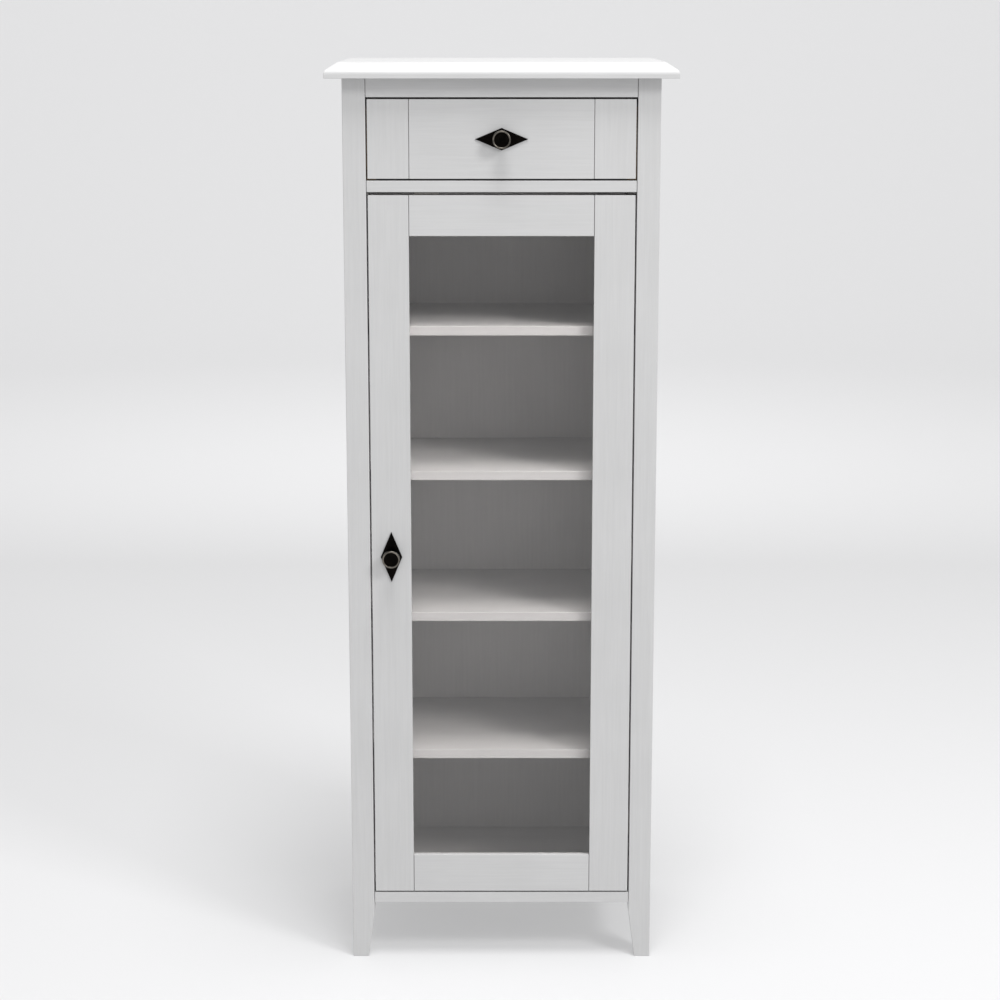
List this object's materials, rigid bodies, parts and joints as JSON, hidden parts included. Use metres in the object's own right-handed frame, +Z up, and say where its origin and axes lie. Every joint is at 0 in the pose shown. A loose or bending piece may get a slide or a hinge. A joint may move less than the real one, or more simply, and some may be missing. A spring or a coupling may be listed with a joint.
{
  "type": "apothecary cabinet",
  "caption": "Tall white glazed cupboard on tapered legs, with a drawer over a hinged glass door, shelves inside and round black knobs on diamond plates.",
  "frame": {"origin": "on the floor under the middle of the bounding box of the closed cabinet", "axes": "+Z up, -Y out of the front (door and drawer), +X to the right seen from the front, where the hinges are"},
  "size_m": [0.664, 0.432, 1.784],
  "materials": {
    "white_lacquer": "white satin lacquer on planed pine",
    "bare_pine": "planed, unfinished pine",
    "black_iron": "black, semi-gloss",
    "nickelled_steel": "nickel plated",
    "clear_glass": "clear float glass, 3 mm",
    "white_plastic": "moulded white"
  },
  "bodies": {
    "cabinet": {"top_board": "white_lacquer", "post_front_left": "white_lacquer", "post_front_right": "white_lacquer", "post_rear_left": "white_lacquer", "post_rear_right": "white_lacquer", "frieze_rail": "white_lacquer", "middle_rail": "white_lacquer", "bottom_rail": "white_lacquer", "rear_rail_upper": "white_lacquer", "rear_rail_lower": "white_lacquer", "side_rail_upper_left": "white_lacquer", "side_rail_upper_right": "white_lacquer", "side_rail_lower_left": "white_lacquer", "side_rail_lower_right": "white_lacquer", "side_panel_left": "white_lacquer", "side_panel_right": "white_lacquer", "back_panel": "white_lacquer", "bottom_panel": "white_lacquer", "dust_panel": "white_lacquer", "shelf_1": "white_lacquer", "shelf_cleat_1_left": "white_lacquer", "shelf_cleat_1_right": "white_lacquer", "shelf_2": "white_lacquer", "shelf_cleat_2_left": "white_lacquer", "shelf_cleat_2_right": "white_lacquer", "shelf_3": "white_lacquer", "shelf_cleat_3_left": "white_lacquer", "shelf_cleat_3_right": "white_lacquer", "shelf_4": "white_lacquer", "shelf_cleat_4_left": "white_lacquer", "shelf_cleat_4_right": "white_lacquer", "drawer_guide_left": "bare_pine", "drawer_guide_right": "bare_pine", "hinge_arm_lower": "nickelled_steel", "hinge_arm_middle": "nickelled_steel", "hinge_arm_upper": "nickelled_steel", "magnetic_catch": "white_plastic"},
    "drawer": {"drawer_front_left": "white_lacquer", "drawer_front_middle": "white_lacquer", "drawer_front_right": "white_lacquer", "drawer_side_left": "bare_pine", "drawer_side_right": "bare_pine", "drawer_back": "bare_pine", "drawer_bottom": "bare_pine", "drawer_knob_plate": "black_iron", "drawer_knob": "black_iron", "drawer_knob_screw": "nickelled_steel"},
    "door": {"door_stile_left": "white_lacquer", "door_stile_right": "white_lacquer", "door_rail_upper": "white_lacquer", "door_rail_lower": "white_lacquer", "glazing_bead": "white_lacquer", "glass_pane": "clear_glass", "door_knob_plate": "black_iron", "door_knob": "black_iron", "door_knob_screw": "nickelled_steel", "hinge_cup_lower": "nickelled_steel", "hinge_cup_middle": "nickelled_steel", "hinge_cup_upper": "nickelled_steel", "strike_plate": "nickelled_steel"}
  },
  "joints": [
    {"name": "drawer_slide", "type": "slide", "parent": "cabinet", "child": "drawer", "axis": [0, -1, 0], "range_m": [0, 0.26]},
    {"name": "door_hinge", "type": "hinge", "parent": "cabinet", "child": "door", "pos_m": [0.2445, -0.181, 0.83825], "axis": [0, 0, 1], "range_deg": [0, 110]}
  ]
}
